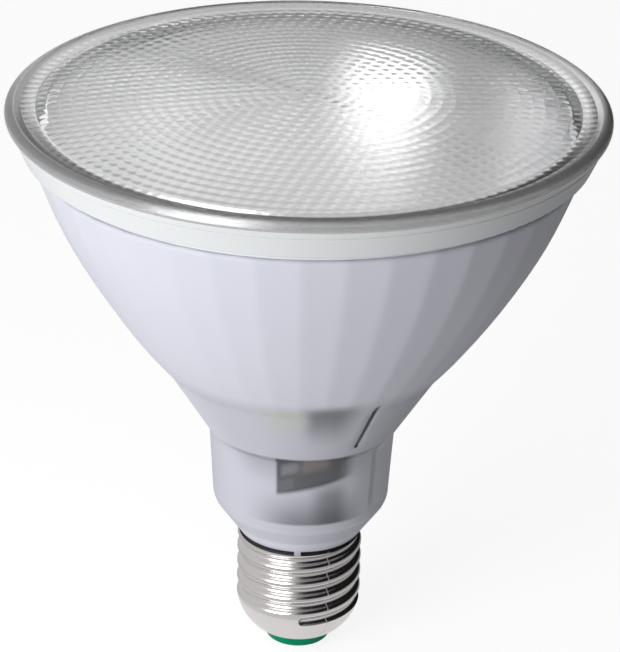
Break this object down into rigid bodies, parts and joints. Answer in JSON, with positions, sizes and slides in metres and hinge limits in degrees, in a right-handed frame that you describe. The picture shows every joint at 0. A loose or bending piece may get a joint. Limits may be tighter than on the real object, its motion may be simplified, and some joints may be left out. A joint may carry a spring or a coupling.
{
  "type": "spotlight bulb",
  "caption": "Reflector spotlight bulb with a shallow domed lenslet lens, white rim ring, strip-faceted translucent housing and a screw cap with a rolled thread.",
  "frame": {"origin": "tip of the centre contact, on the axis of the bulb", "axes": "+Z along the axis from the cap to the lens, -Y towards the side seen in the picture, +X to that view's right"},
  "size_m": [0.121, 0.121, 0.1259],
  "materials": {
    "clear_lens": "clear, with small lenslets",
    "seal": "soft, matt",
    "white_ring": "smooth white",
    "housing_white": "satin, slightly translucent",
    "bright_metal_coat": "vacuum metallised",
    "aluminium_plate": "brushed",
    "white_board": "white solder mask",
    "light_packages": "yellow phosphor",
    "steel_screws": "zinc plated",
    "green_board": "solder mask",
    "grey_box": "moulded",
    "yellow_box": "moulded",
    "ferrite": "sintered, dark",
    "winding_tape": "taped",
    "black_sleeve": "shrunk sleeve",
    "resistor_coat": "coated",
    "can_sleeve": "shrunk sleeve",
    "black_epoxy": "moulded",
    "red_wire": "insulated",
    "black_wire": "insulated",
    "brown_wire": "insulated",
    "blue_wire": "insulated",
    "nickel_shell": "bright nickel plate",
    "green_plug": "moulded green",
    "contact_metal": "solder tinned"
  },
  "bodies": {
    "root": {"lens": "clear_lens", "lens_seal": "seal", "rim_ring": "white_ring", "housing": "housing_white", "reflector": "bright_metal_coat", "heat_spreader": "aluminium_plate", "led_board": "white_board", "led_packages": "light_packages", "board_screws": "steel_screws", "driver_board": "green_board", "film_capacitor": "grey_box", "suppression_capacitor": "yellow_box", "transformer_core": "ferrite", "transformer_winding": "winding_tape", "line_choke": "black_sleeve", "fuse_resistor": "resistor_coat", "bulk_capacitor": "can_sleeve", "output_capacitor": "can_sleeve", "bridge_rectifier": "black_epoxy", "switching_transistor": "black_epoxy", "controller_chip": "black_epoxy", "led_lead_positive": "red_wire", "led_lead_negative": "black_wire", "line_lead": "brown_wire", "neutral_lead": "blue_wire", "screw_shell": "nickel_shell", "base_insulator": "green_plug", "centre_contact": "contact_metal"}
  },
  "joints": []
}
